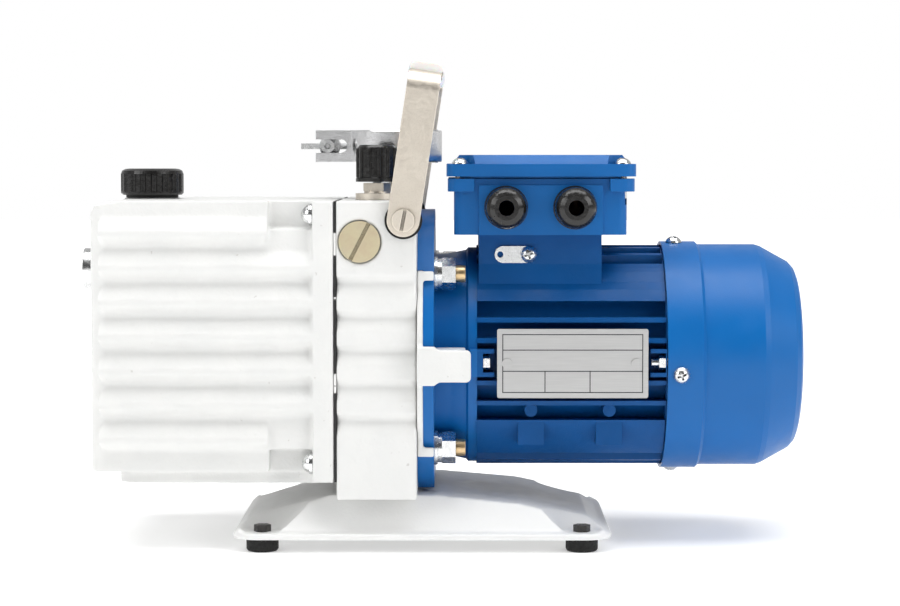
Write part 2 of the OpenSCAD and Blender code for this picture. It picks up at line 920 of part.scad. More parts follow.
module shaft_seal() {
    color("black")
    ring_x(seal_x0, seal_x0 + 7, 11, pump_r + eps, 0, axis_z);
}

// ---- coupling ----

// Sector of a ring between two angles about the shaft
module sector(x0, x1, r_out, r_in, a0, a1) {
    prism_x(x0, x1)
        difference() {
            intersection() {
                circle(r_out);
                polygon(concat([[0, 0]], [for (a = [a0, (a0 + a1) / 2, a1]) 40 * [cos(a), sin(a)]]));
            }
            circle(r_in);
        }
}

module coupling_halves() {
    color("lightgray") {
        translate([0, 0, axis_z]) {
            ring_x(block_x1 - chamber_len + 1.2, jaw_x0, jaw_r, pump_r + eps / 2);
            for (a = [0, 180])
                sector(jaw_x0 - 1, jaw_x1 - 0.4, jaw_r, jaw_in_r, a + 10, a + 80);
            ring_x(jaw_x1, block_x1 - 0.7, jaw_r, motor_r + eps / 2);
            for (a = [90, 270])
                sector(jaw_x0 + 0.4, jaw_x1 + 1, jaw_r, jaw_in_r, a + 10, a + 80);
        }
    }
}

module coupling_spider() {
    color("firebrick")
    translate([0, 0, axis_z]) {
        rod_x(jaw_x0 + 0.5, jaw_x1 - 0.5, 6);
        for (a = [0, 90, 180, 270])
            sector(jaw_x0 + 0.5, jaw_x1 - 0.5, jaw_r - 0.3, 5, a - 9, a + 9);
    }
}

module side_brackets() {
    lip_x1 = block_x1 + lip_t;
    color("whitesmoke")
    translate([0, 0, axis_z]) {
        difference() {
            intersection() {
                rod_x(block_x1, lip_x1, flange_r + 0.4);
                block([block_x1 - 1, -far, -lip_z], [lip_x1 + 1, far, lip_z]);
            }
            rod_x(block_x1 - 1, 0, spigot_r + 0.1);
            at_flange_holes();
        }
        both_sides() {
            // arms that reach over the flange's rim
            for (z = [lip_z, -lip_z - 4.4])
                block([block_x1, -61.5, z], [flange_x1, -58.7, z + 4.4]);
            for (z = [lip_z - 3, -lip_z - 4.4])
                block([block_x1, -61.5, z], [lip_x1, -50, z + 7.4]);
            // tongue along the side of the front shield
            difference() {
                union() {
                    block([lip_x1 - 1, -73, -9], [flange_x1 + 0.6, -flange_r - 0.1, 9]);
                    prism_y(-73, -flange_r - 0.1)
                        polygon([
                            [flange_x1, -9], [flange_x1 + 2.5, -7.4], [14, -7.4], [15.4, -6],
                            [15.4, 6], [14, 7.4], [flange_x1 + 2.5, 7.4], [flange_x1, 9]]);
                    block([flange_x1 + gap, -71, -7.4], [13, -54, 7.4]);
                    block([block_x1, -73, -9], [lip_x1, -68, 9]);
                }
                rod_x(lip_x1, flange_x1, flange_r + 0.1);
            }
        }
    }
}

// ---- motor ----

// Side lug of the shields with a notch that holds a bolt head
module side_lug(x0, x1, y_in) {
    both_sides()
        block([x0, -fin_r - 1.3, -6.4], [x1, -y_in, 6.4]);
}

module front_shield() {
    color("royalblue")
    translate([0, 0, axis_z])
        difference() {
            union() {
                intersection() {
                    union() {
                        rod_x(block_x1 + lip_t, flange_x1, flange_r);
                        difference() {
                            rod_x(block_x1, flange_x1, flange_r);
                            block([block_x1 - 1, -far, -lip_z], [block_x1 + lip_t, far, lip_z]);
                        }
                    }
                    block([-far, -far, -60], [far, far, far]);
                }
                rod_x(block_x1 - 3, flange_x1, spigot_r);
                rotate([0, 90, 0])
                    rotate_extrude()
                        polygon([
                            [0, flange_x1 - 1], [48.6, flange_x1 - 1], [48.6, flange_x1 + 6],
                            [50.4, shield_x1 - 5], [51.6, shield_x1 - 4], [51.6, shield_x1], [0, shield_x1]]);
                side_lug(shield_x1 - 3.2, shield_x1 + 0, 44);
            }
            // hollow behind the end wall, round the bearing housing
            difference() {
                rod_x(front_bearing_x, far, core_r);
                rod_x(0, front_bearing_x + bearing_t, bearing_r + 5);
            }
            rod_x(front_bearing_x, far, bearing_r + eps);
            rod_x(-far, far, motor_r + 1);
            // recess towards the coupling
            rod_x(block_x1 - 5, front_bearing_x - 4, 17);
            at_flange_holes();
            both_sides()
                translate([0, -shield_bolt_y, 0]) rod_x(shield_x1 - 10, shield_x1 + 1, 2.05);
            // room for the brackets and their tongues
            both_sides()
                block([flange_x1, -far, -7.7], [13.3, -53.7, 7.7]);
            both_sides()
                for (z = [lip_z - 3.1, -lip_z - 4.5])
                    block([block_x1 - 1, -flange_r, z], [block_x1 + lip_t, -50 + 0.1, z + 7.6]);
            both_sides()
                for (z = [lip_z, -lip_z - 4.4])
                    block([block_x1 - 1, -flange_r, z - 0.1], [flange_x1 + 1, -58.6, z + 4.5]);
        }
}

module at_flange_holes() {
    for (y = [-stud_yz, stud_yz])
        for (z = [-stud_yz, stud_yz])
            rod_x(block_x1 - 1, flange_x1 + 1, 4.2, y, z);
}

// Outline of the finned frame in Y and Z, about the shaft
module frame_outline() {
    side_zs = [29.3, 19.6, 10.2, -9.4, -19.0, -28.4];
    foot_ys = [-28.8, -19.2, -9.6, 0, 9.6, 19.2, 28.8];
    difference() {
        union() {
            circle(core_r);
            intersection() {
                circle(fin_r);
                union() {
                    for (z = side_zs)
                        translate([-fin_r, z - 1.1]) square([2 * fin_r, 2.2]);
                    for (y = foot_ys)
                        translate([y - 1.1, -fin_r]) square([2.2, 2 * fin_r]);
                    // shoulders above and below the side fins
                    for (side = [-1, 1]) {
                        polygon([
                            [side * 44.4, 30.4], [side * 44.4, 29], [side * 30, 29], [side * 30, 44.6],
                            [side * 36.6, 36.8]]);
                        polygon([
                            [side * 44.4, -29], [side * 42.4, -32.4], [side * 30, -45], [side * 26, -44],
                            [side * 26, -29]]);
                    }
                }
            }
        }
        circle(bore_frame_r);
    }
}

module motor_frame() {
    pad_x = [19.2, 76.6];
    pad_z = box_z[0] - axis_z;
    color("royalblue")
    translate([0, 0, axis_z])
        difference() {
            union() {
                prism_x(frame_x0, frame_x1) frame_outline();
                // pad under the terminal box
                prism_x(pad_x[0], pad_x[1])
                    polygon([
                        [-38, 34], [-36.6, 45], [-36.6, pad_z], [36.6, pad_z], [36.6, 45], [38, 34],
                        [26, 30], [-26, 30]]);
                // pads that carry the rating plate and the shield bolts
                both_sides() {
                    block([frame_x0, -fin_r - 1.3, -6.4], [26.2, -42, 6.4]);
                    block([98.4, -fin_r - 1.3, -6.4], [frame_x1, -42, 6.4]);
                    block([29, -plate_y + 1.2, -4.5], [96, -42, 4.5]);
                    // pads for screwed-on feet
                    for (x = [37.4, 73.8]) {
                        block([x, -44.4, -39], [x + 12.2, -30, -28]);
                        translate([x + 6, 0, -22.5]) rod_y(-47.5, -40, 3);
                    }
                }
            }
            rod_x(-far, far, bore_frame_r);
            // wire passage into the terminal box
            rod_z(0, far, 12, 48, 0);
            both_sides() {
                // notches round the heads of the shield bolts
                block([21, -far, -4.4], [27, -45.5, 4.4]);
                block([98, -far, -4.6], [105.6, -45.5, 4.6]);
                rod_x(frame_x0 - 1, 24, 2.7, -shield_bolt_y, 0);
                rod_x(102, frame_x1 + 1, 2.7, -shield_bolt_y, 0);
                // holes for the plate's rivets
                for (x = rivet_xs)
                    rod_y(-far, -46, 1.55, x, 0);
            }
            rod_y(-far, -30, 2.05, earth[0], earth[1]);
        }
}

module rear_shield() {
    color("royalblue")
    translate([0, 0, axis_z])
        difference() {
            union() {
                rod_x(frame_x1, rear_x1, 50.5);
                rod_x(frame_x1, rear_bearing_x + bearing_t, bearing_r + 5);
                for (a = [0 : 90 : 270])
                    rotate([cowl_turn + a, 0, 0])
                        block(
                            [frame_x1 + 1, -cowl_r + cowl_wall + 0.4, -4.5],
                            [cowl_screw_x + 5.5, -40, 4.5]);
            }
            rod_x(frame_x1 - 1, rear_bearing_x + bearing_t - 1, bearing_r + eps);
            rod_x(0, far, motor_r + 1);
            for (a = [0 : 90 : 270])
                rotate([cowl_turn + a, 0, 0])
                    rod_y(-far, -43, 2.05, cowl_screw_x, 0);
            both_sides()
                translate([0, -shield_bolt_y, 0]) rod_x(frame_x1 - 1, rear_x1 - 1, 2.05);
        }
}

module shield_bolts() {
    color("silver")
    both_sides()
        translate([0, -shield_bolt_y, axis_z]) {
            hex_x(21.1, 24.3, 7, 0, 0);
            rod_x(shield_x1 - 9, 22, 2);
            hex_x(102.4, 105.5, 7, 0, 0);
            rod_x(99, 103, 2);
            rod_x(105, rear_x1 - 2, 2);
        }
}

module stator_core() {
    color("dimgray")
    translate([0, 0, axis_z])
        prism_x(stack_x0, stack_x0 + stack_len)
            difference() {
                circle(bore_frame_r - eps);
                circle(22.6);
                for (i = [0 : 23])
                    rotate(i * 15) translate([23.6, -1.1]) square([8.5, 2.2]);
            }
}

module windings() {
    color("peru")
    translate([0, 0, axis_z])
        for (x = [stack_x0 - 11, stack_x0 + stack_len])
            translate([x, 0, 0]) rotate([0, 90, 0])
                rotate_extrude()
                    polygon([
                        [24, 0], [33, 0], [35.5, 2.5], [35.5, 8.5], [33, 11], [26, 11], [24, 9]]);
}

module rotor_core() {
    color("gray")
    ring_x(stack_x0, stack_x0 + stack_len, 22.1, motor_r, 0, axis_z);
}

module motor_shaft() {
    color("lightgray")
    rod_x(jaw_x1 + 1, cowl_x1 - 22, motor_r, 0, axis_z);
}

module motor_bearings() {
    color("silver")
    for (x = [front_bearing_x, rear_bearing_x - 1])
        ring_x(x, x + bearing_t, bearing_r, motor_r + eps, 0, axis_z);
}

module fan() {
    fan_x0 = rear_bearing_x + bearing_t + 4;
    color("dimgray")
    translate([0, 0, axis_z]) {
        ring_x(fan_x0, fan_x0 + 22, 11, motor_r);
        ring_x(fan_x0 + 2, fan_x0 + 5, 44, 9);
        for (a = [0 : 45 : 315])
            rotate([a, 0, 0])
                block([fan_x0 + 4, 10, -1], [fan_x0 + 21, 44, 1]);
    }
}

// Half profile of the cowl as [x, r] points, inset by t
function cowl_profile(t) = [
    [cowl_x0, cowl_r - t], [cowl_x0 + 16.6, cowl_r - t], [cowl_x0 + 18, cowl_r - 1.4 - t],
    [cowl_x1 - 19, cowl_r - 1.4 - t], [cowl_x1 - 16.4, cowl_r - 2.2 - t],
    [cowl_x1 - 3.4 - t / 2, cowl_r - 9.4 - t], [cowl_x1 - 1 - t, cowl_r - 12 - t],
    [cowl_x1 - t, cowl_r - 14.6 - t]];

module cowl_form(t, x_start) {
    points = cowl_profile(t);
    rotate([0, 90, 0])
        rotate_extrude()
            polygon(concat(
                [[0, x_start], [points[0][1], x_start]],
                [for (p = points) [p[1], p[0]]],
                [[0, points[7][0]]]));
}

module fan_cowl() {
    hole_rings = [[11, 8], [19, 14], [27, 20], [35, 26]];
    color("royalblue")
    translate([0, 0, axis_z])
        difference() {
            cowl_form(0, cowl_x0 - eps / 10);
            cowl_form(cowl_wall, cowl_x0 - 2);
            for (ring = hole_rings)
                for (i = [0 : ring[1] - 1])
                    rotate([i * 360 / ring[1], 0, 0])
                        rod_x(cowl_x1 - 5, cowl_x1 + 1, 2.6, ring[0], 0);
            for (a = [0 : 90 : 270])
                rotate([cowl_turn + a, 0, 0])
                    rod_y(-far, -43, 2.3, cowl_screw_x, 0);
        }
}

module flange_studs() {
    color("goldenrod")
    at_studs()
        rod_x(block_x1 - 17, flange_x1 + 14.6, 4);
}

module flange_nuts() {
    color("silver")
    at_studs() {
        ring_x(flange_x1, flange_x1 + 1.6, 8, 4.1);
        ring_x(flange_x1 + 1.6, flange_x1 + 3.6, 7, 4.1);
        difference() {
            hex_x(flange_x1 + 3.6, flange_x1 + 10, 13, 0, 0);
            rod_x(flange_x1, flange_x1 + 20, 4.02);
        }
    }
}

// ---- terminal box ----

// Corner lugs of the box and lid, in X and Y
module box_corners(grow) {
    for (x = [lid_x[0] + 6.2, lid_x[1] - 6.2])
        for (y = [-lid_half_w + 6.2, lid_half_w - 6.2])
            translate([x, y]) circle(5.8 + grow);
}

module terminal_box() {
    color("royalblue")
    difference() {
        union() {
            translate([0, 0, box_z[0]])
                linear_extrude(box_z[1] - box_z[0])
                    round_rect([box_x[0], -box_half_w], [box_x[1], box_half_w], 4);
            translate([0, 0, box_z[1] - 6])
                linear_extrude(6) {
                    intersection() {
                        round_rect(
                            [lid_x[0] + 0.6, -lid_half_w + 0.6], [lid_x[1] - 0.6, lid_half_w - 0.6], 5);
                        difference() {
                            translate([-far, -far]) square(2 * far);
                            translate([17, -far]) square([63, 2 * far]);
                            translate([-far, -34]) square([2 * far, 68]);
                        }
                    }
                }
            // panel that carries the glands
            block([19.2, -box_half_w - 1.4, box_z[0]], [76.6, -box_half_w + 1, box_z[1] - 3]);
        }
        translate([0, 0, box_z[0] + 3])
            linear_extrude(far)
                difference() {
                    round_rect([box_x[0] + 3, -box_half_w + 3], [box_x[1] - 3, box_half_w - 3], 2);
                    box_corners(0);
                }
        rod_z(0, far, 12, 48, 0);
        for (x = gland_xs)
            rod_y(-far, -box_half_w + 10, 8.05, x, gland_z);
        for (x = [lid_x[0] + 6.2, lid_x[1] - 6.2])
            for (y = [-lid_half_w + 6.2, lid_half_w - 6.2])
                rod_z(box_z[1] - 12, far, 2.05, x, y);
    }
}

module box_lid() {
    centre_z1 = lid_z + 10;
    color("royalblue")
    difference() {
        union() {
            translate([0, 0, lid_z - gasket_z + 0.4])
                linear_extrude(1)
                    round_rect([box_x[0] + 0.5, -box_half_w + 0.5], [box_x[1] - 0.5, box_half_w - 0.5], 4);
            translate([0, 0, lid_z])
                linear_extrude(5.8)
                    round_rect([lid_x[0], -lid_half_w], [lid_x[1], lid_half_w], 5);
            // raised middle with sloped edges
            intersection() {
                prism_y(-far, far)
                    polygon([
                        [lid_x[0] + 2, lid_z + 5], [lid_x[0] + 6, centre_z1], [lid_x[1] - 6, centre_z1],
                        [lid_x[1] - 2, lid_z + 5]]);
                prism_x(-far, far)
                    polygon([
                        [-lid_half_w + 2, lid_z + 5], [-lid_half_w + 6, centre_z1],
                        [lid_half_w - 6, centre_z1], [lid_half_w - 2, lid_z + 5]]);
                translate([0, 0, lid_z])
                    linear_extrude(far)
                        difference() {
                            square(2 * far, center = true);
                            for (x = [lid_x[0], lid_x[1]])
                                for (y = [-lid_half_w, lid_half_w])
                                    translate([x, y]) circle(13.6);
                        }
            }
        }
        translate([0, 0, lid_z - 3])
            linear_extrude(9)
                round_rect([box_x[0] + 10, -box_half_w + 10], [box_x[1] - 10, box_half_w - 10], 2);
        for (x = [lid_x[0] + 6.2, lid_x[1] - 6.2])
            for (y = [-lid_half_w + 6.2, lid_half_w - 6.2])
                rod_z(0, far, 2.3, x, y);
    }
}

module terminal_block() {
    color("saddlebrown")
    difference() {
        block([60, -18, box_z[0] + 3], [80, 18, box_z[0] + 12]);
        for (y = [-12, 0, 12])
            for (x = [65, 75])
                rod_z(box_z[0] + 6, far, 2, x, y);
    }
    color("goldenrod")
    for (y = [-12, 0, 12])
        for (x = [65, 75])
            rod_z(box_z[0] + 6, box_z[0] + 16, 1.95, x, y);
}

module cable_glands() {
    y0 = -box_half_w - 1.4;
    color("black")
    for (x = gland_xs)
        translate([x, y0, gland_z]) rotate([90, 0, 0])
            difference() {
                union() {
                    translate([0, 0, -10]) cylinder(h = 11, r = 8);
                    cylinder(h = 5, r = 10.1);
                    rotate_extrude()
                        polygon([
                            [0, 5], [9.6, 5], [9.6, 13], [9, 15.4], [7.6, 17.2], [5.6, 18.2], [0, 18.2]]);
                    translate([0, 0, -7.5]) cylinder(h = 3, r = 9.6, $fn = 6);
                }
                translate([0, 0, -11]) cylinder(h = 40, r = 3.6);
            }
}

module nameplate() {
    color("gainsboro")
    translate([0, 0, axis_z])
        difference() {
            prism_y(-plate_y, -plate_y + 0.8)
                round_rect([27.5, -16], [97.2, 16], 1);
            for (x = rivet_xs)
                rod_y(-far, 0, 1.55, x, 0);
        }
}

module nameplate_rivets() {
    color("silver")
    translate([0, 0, axis_z])
        for (x = rivet_xs) {
            rod_y(-plate_y - 0.9, -plate_y, 2.4, x, 0);
            rod_y(-plate_y - 0.1, -47, 1.5, x, 0);
        }
}

module earth_lug() {
    face_y = -36.6;
    end_x = 30.6;
    color("silver")
    translate([0, 0, axis_z + earth[1]])
        difference() {
            prism_y(face_y - 1.2, face_y) {
                for (x = [end_x, earth[0]])
                    translate([x, 0]) circle(4);
                translate([end_x, -4]) square([earth[0] - end_x, 8]);
            }
            rod_y(-far, 0, 2.2, earth[0], 0);
            rod_y(-far, 0, 1.4, end_x - 1.4, 0);
        }
}

module cover_screws() {
    color("silver") {
        // on the lid
        for (x = [lid_x[0] + 6.2, lid_x[1] - 6.2])
            for (y = [-lid_half_w + 6.2, lid_half_w - 6.2])
                translate([x, y, lid_z + 5.8]) pan_screw(8, 2.9, 4, 16);
        // round the cowl
        for (a = [0 : 90 : 270])
            translate([0, 0, axis_z]) rotate([cowl_turn + a, 0, 0])
                translate([cowl_screw_x, -cowl_r - 0.1, 0]) rotate([90, 0, 0]) pan_screw(8, 2.9, 4, 9);
        // on the earth lug
        translate([earth[0], -37.8, axis_z + earth[1]]) rotate([90, 0, 0]) pan_screw(8, 2.9, 4, 7);
    }
}

base_plate();
rubber_feet();
base_bolts();
pump_block();
oil_case();
case_gasket();
case_screws();
sight_glass_bezel();
sight_glass_lens();
oil_cap();
cap_seal();
screw_plugs();
handle();
handle_grip();
handle_screws();
handle_washers();
inlet_port();
centring_ring();
inlet_o_ring();
clamp_front_half();
clamp_rear_half();
clamp_hinge_pin();
clamp_bolt();
clamp_washer();
wing_nut();
ballast_body();
ballast_stem();
ballast_knob();
stator_high_stage();
stator_low_stage();
stator_plates();
pump_rotor();
vanes();
vane_springs();
exhaust_valve();
shaft_seal();
coupling_halves();
coupling_spider();
side_brackets();
front_shield();
motor_frame();
rear_shield();
stator_core();
windings();
rotor_core();
motor_shaft();
motor_bearings();
fan();
fan_cowl();
cover_screws();
shield_bolts();
flange_studs();
flange_nuts();
terminal_box();
box_lid();
terminal_block();
cable_glands();
nameplate();
nameplate_rivets();
earth_lug();
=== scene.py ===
"""The looks of the rotary vane vacuum pump: materials, soft casting shapes and printed plate lines.

Everything is in metres, in the part's own frame: +X runs to the motor, +Z is up, the near side is -Y.
"""
import math

import bpy
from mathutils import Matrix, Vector, noise


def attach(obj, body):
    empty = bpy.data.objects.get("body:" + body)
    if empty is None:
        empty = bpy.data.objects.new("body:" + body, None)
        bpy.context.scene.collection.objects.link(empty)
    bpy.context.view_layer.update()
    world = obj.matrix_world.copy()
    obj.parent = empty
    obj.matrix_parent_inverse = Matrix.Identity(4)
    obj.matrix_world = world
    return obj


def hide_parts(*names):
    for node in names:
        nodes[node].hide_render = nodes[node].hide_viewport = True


MM = 0.001
WELD_GAP = 0.002 * MM
FLAT_WITHIN = math.radians(0.5)
EDGE_FROM = math.radians(30)
FACE_WEIGHT = 80

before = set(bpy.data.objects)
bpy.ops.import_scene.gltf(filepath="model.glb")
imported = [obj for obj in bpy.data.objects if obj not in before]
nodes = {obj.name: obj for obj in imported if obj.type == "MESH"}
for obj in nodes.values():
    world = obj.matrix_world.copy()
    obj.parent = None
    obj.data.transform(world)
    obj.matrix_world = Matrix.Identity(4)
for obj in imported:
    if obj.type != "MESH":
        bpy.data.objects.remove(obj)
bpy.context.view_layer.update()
scene = bpy.context.scene


# ---- camera, light and floor ----

IMAGE_W = 900
FOCAL = 2490
EYE = (0.0104, -1.2, 0.1823)
PITCH = 3.355
YAW = 0.23


def add_camera():
    data = bpy.data.cameras.new("camera")
    data.sensor_width = 36
    data.lens = FOCAL * data.sensor_width / IMAGE_W
    data.clip_start = 0.01
    camera = bpy.data.objects.new("camera", data)
    camera.location = EYE
    camera.rotation_euler = (math.radians(90 - PITCH), 0, math.radians(YAW))
    scene.collection.objects.link(camera)
    scene.camera = camera


def add_softbox(name, place, target, size, power):
    data = bpy.data.lights.new(name, "AREA")
    data.shape = "RECTANGLE"
    data.size, data.size_y = size
    data.energy = power
    lamp = bpy.data.objects.new(name, data)
    lamp.location = place
    lamp.rotation_euler = (Vector(target) - Vector(place)).to_track_quat("-Z", "Y").to_euler()
    scene.collection.objects.link(lamp)


def add_world():
    """White for the camera, and for all other rays a grey that changes along Y."""
    world = bpy.data.worlds.new("studio")
    world.use_nodes = True
    tree = world.node_tree
    tree.nodes.clear()
    out = tree.nodes.new("ShaderNodeOutputWorld")
    ways = tree.nodes.new("ShaderNodeMixShader")
    path = tree.nodes.new("ShaderNodeLightPath")
    backdrop = tree.nodes.new("ShaderNodeBackground")
    backdrop.inputs["Color"].default_value = (1, 1, 1, 1)
    ambient = tree.nodes.new("ShaderNodeBackground")
    coords = tree.nodes.new("ShaderNodeTexCoord")
    split = tree.nodes.new("ShaderNodeSeparateXYZ")
    depth = tree.nodes.new("ShaderNodeMapRange")
    depth.inputs["From Min"].default_value = -1
    depth.inputs["From Max"].default_value = 1
    depth.inputs["To Min"].default_value = 0.05
    depth.inputs["To Max"].default_value = 0.6
    tree.links.new(coords.outputs["Generated"], split.inputs[0])
    tree.links.new(split.outputs["Y"], depth.inputs["Value"])
    tree.links.new(depth.outputs[0], ambient.inputs["Color"])
    tree.links.new(path.outputs["Is Camera Ray"], ways.inputs[0])
    tree.links.new(ambient.outputs[0], ways.inputs[1])
    tree.links.new(backdrop.outputs[0], ways.inputs[2])
    tree.links.new(ways.outputs[0], out.inputs[0])
    scene.world = world


def set_tones():
    """Colours come out as they are lit, without a film curve."""
    scene.view_settings.view_transform = "Standard"
    scene.view_settings.look = "None"


def add_floor():
    mesh = bpy.data.meshes.new("floor")
    half = 6.0
    corners = [(-half, -half, 0), (half, -half, 0), (half, half, 0), (-half, half, 0)]
    mesh.from_pydata(corners, [], [(0, 1, 2, 3)])
    floor = bpy.data.objects.new("floor", mesh)
    floor.data.materials.append(studio_white())
    scene.collection.objects.link(floor)


# ---- material tools ----

def new_material(name, colour, roughness, metallic=0.0):
    made = bpy.data.materials.new(name)
    made.use_nodes = True
    shader = made.node_tree.nodes["Principled BSDF"]
    shader.inputs["Base Color"].default_value = (*colour, 1)
    shader.inputs["Roughness"].default_value = roughness
    shader.inputs["Metallic"].default_value = metallic
    return made


def shader_of(made):
    return made.node_tree.nodes["Principled BSDF"]


def dull_shine(made, level):
    shader_of(made).inputs["Specular IOR Level"].default_value = level


def pattern(made, size, stretch=(1, 1, 1), detail=2.0, low=0.35, high=0.65):
    """A 0 to 1 pattern with features about size metres across, stretched along X, Y and Z."""
    tree = made.node_tree
    coords = tree.nodes.new("ShaderNodeTexCoord")
    mapping = tree.nodes.new("ShaderNodeMapping")
    mapping.inputs["Scale"].default_value = [1 / s for s in stretch]
    texture = tree.nodes.new("ShaderNodeTexNoise")
    texture.inputs["Scale"].default_value = 1 / size
    texture.inputs["Detail"].default_value = detail
    spread = tree.nodes.new("ShaderNodeMapRange")
    spread.inputs["From Min"].default_value = low
    spread.inputs["From Max"].default_value = high
    tree.links.new(coords.outputs["Object"], mapping.inputs["Vector"])
    tree.links.new(mapping.outputs["Vector"], texture.inputs["Vector"])
    tree.links.new(texture.outputs[0], spread.inputs["Value"])
    return spread.outputs[0]


def tint(made, mask, colour, amount=1.0):
    """Blends the colour in where the mask is 1, over what the colour socket already gets."""
    tree = made.node_tree
    socket = shader_of(made).inputs["Base Color"]
    mix = tree.nodes.new("ShaderNodeMix")
    mix.data_type = "RGBA"
    weaken = tree.nodes.new("ShaderNodeMath")
    weaken.operation = "MULTIPLY"
    weaken.inputs[1].default_value = amount
    tree.links.new(mask, weaken.inputs[0])
    tree.links.new(weaken.outputs[0], mix.inputs["Factor"])
    base, over = [i for i in mix.inputs if i.type == "RGBA"]
    if socket.links:
        tree.links.new(socket.links[0].from_socket, base)
    else:
        base.default_value = socket.default_value
    over.default_value = (*colour, 1)
    tree.links.new([o for o in mix.outputs if o.type == "RGBA"][0], socket)


def crevice_shade(made, reach):
    """A mask for painted shade, 1 deep in slots and sockets, found by how shut in the surface is within
    reach.
    """
    tree = made.node_tree
    shade = tree.nodes.new("ShaderNodeAmbientOcclusion")
    shade.samples = 6
    shade.inputs["Distance"].default_value = reach
    spread = tree.nodes.new("ShaderNodeMapRange")
    spread.inputs["From Min"].default_value = 0.62
    spread.inputs["From Max"].default_value = 0.3
    tree.links.new(shade.outputs["AO"], spread.inputs["Value"])
    return spread.outputs[0]


def vary_roughness(made, mask, low, high):
    tree = made.node_tree
    spread = tree.nodes.new("ShaderNodeMapRange")
    spread.inputs["To Min"].default_value = low
    spread.inputs["To Max"].default_value = high
    tree.links.new(mask, spread.inputs["Value"])
    tree.links.new(spread.outputs[0], shader_of(made).inputs["Roughness"])


def bump(made, mask, height):
    """Adds relief of the given height in metres, on top of what is there."""
    tree = made.node_tree
    socket = shader_of(made).inputs["Normal"]
    relief = tree.nodes.new("ShaderNodeBump")
    relief.inputs["Distance"].default_value = height
    tree.links.new(mask, relief.inputs["Height"])
    if socket.links:
        tree.links.new(socket.links[0].from_socket, relief.inputs["Normal"])
    tree.links.new(relief.outputs[0], socket)


# ---- materials ----

def studio_white():
    """Pale floor that gives light of its own away from the object, so that it meets the backdrop unseen."""
    made = new_material("studio_white", (0.88, 0.88, 0.88), 0.75)
    shader = shader_of(made)
    shader.inputs["Specular IOR Level"].default_value = 0.1
    shader.inputs["Emission Color"].default_value = (1, 1, 1, 1)
    tree = made.node_tree
    coords = tree.nodes.new("ShaderNodeTexCoord")
    away = tree.nodes.new("ShaderNodeVectorMath")
    away.operation = "LENGTH"
    glow = tree.nodes.new("ShaderNodeMapRange")
    glow.inputs["From Min"].default_value = 0.3
    glow.inputs["From Max"].default_value = 1.6
    glow.inputs["To Min"].default_value = 0.3
    glow.inputs["To Max"].default_value = 1.0
    tree.links.new(coords.outputs["Object"], away.inputs[0])
    tree.links.new(away.outputs["Value"], glow.inputs["Value"])
    tree.links.new(glow.outputs[0], shader.inputs["Emission Strength"])
    bump(made, pattern(made, 4 * MM), 0.01 * MM)
    return made


def white_paint():
    """Thick semi-gloss paint on a sand casting, with lumps, fine peel, dirty pits and painted shade in the
    grooves.
    """
    made = new_material("white_paint", (0.74, 0.74, 0.725), 0.38)
    tint(made, pattern(made, 22 * MM, detail=3), (0.69, 0.695, 0.685), 0.6)
    tint(made, pattern(made, 3 * MM, detail=5, low=0.72, high=0.75), (0.42, 0.40, 0.37), 0.45)
    # painted shade: grey in grooves and corners, where the surface is shut in
    tint(made, crevice_shade(made, 5 * MM), (0.45, 0.45, 0.44), 0.55)
    vary_roughness(made, pattern(made, 3 * MM, detail=3), 0.28, 0.46)
    bump(made, pattern(made, 9 * MM, detail=3), 0.22 * MM)
    bump(made, pattern(made, 1.3 * MM, detail=3), 0.035 * MM)
    return made


def white_shell_paint():
    """The same paint on the smooth pressed base."""
    made = new_material("white_shell_paint", (0.81, 0.81, 0.80), 0.35)
    tint(made, pattern(made, 35 * MM, detail=3), (0.76, 0.765, 0.76), 0.5)
    vary_roughness(made, pattern(made, 5 * MM, detail=3), 0.28, 0.42)
    bump(made, pattern(made, 1.1 * MM, detail=2), 0.02 * MM)
    return made


def blue_paint():
    """Satin powder coat on die-cast aluminium."""
    made = new_material("blue_paint", (0.0015, 0.074, 0.26), 0.42)
    dull_shine(made, 0.2)
    tint(made, pattern(made, 30 * MM, detail=3), (0.0015, 0.063, 0.22), 0.6)
    vary_roughness(made, pattern(made, 4 * MM, detail=3), 0.34, 0.48)
    bump(made, pattern(made, 6 * MM, detail=2), 0.05 * MM)
    bump(made, pattern(made, 0.7 * MM, detail=2), 0.02 * MM)
    return made


def cowl_paint():
    """The same blue on pressed sheet, smoother and a little brighter."""
    made = new_material("cowl_paint", (0.002, 0.118, 0.385), 0.36)
    dull_shine(made, 0.3)
    tint(made, pattern(made, 40 * MM, detail=2), (0.002, 0.102, 0.34), 0.5)
    vary_roughness(made, pattern(made, 8 * MM, detail=3), 0.33, 0.42)
    bump(made, pattern(made, 0.8 * MM, detail=2), 0.012 * MM)
    return made


def satin_nickel():
    """Warm matt nickel plate, speckled finely, with painted shade only down in the slots."""
    made = new_material("satin_nickel", (0.80, 0.735, 0.64), 0.42, 1.0)
    tint(made, pattern(made, 14 * MM, detail=3), (0.73, 0.665, 0.575), 0.6)
    tint(made, pattern(made, 0.6 * MM, detail=3, low=0.5, high=0.75), (0.60, 0.54, 0.46), 0.35)
    # painted shade: near black down in the slots
    tint(made, crevice_shade(made, 2.2 * MM), (0.02, 0.018, 0.015))
    vary_roughness(made, pattern(made, 1.2 * MM, detail=3), 0.38, 0.5)
    bump(made, pattern(made, 0.5 * MM, detail=2), 0.005 * MM)
    return made


def bright_zinc():
    made = new_material("bright_zinc", (0.78, 0.79, 0.795), 0.25, 1.0)
    tint(made, pattern(made, 6 * MM, detail=2), (0.68, 0.68, 0.67), 0.5)
    # painted shade: near black down in slots and sockets
    tint(made, crevice_shade(made, 1.6 * MM), (0.03, 0.03, 0.03))
    vary_roughness(made, pattern(made, 2 * MM, detail=2), 0.2, 0.3)
    bump(made, pattern(made, 0.8 * MM, detail=1), 0.002 * MM)
    return made


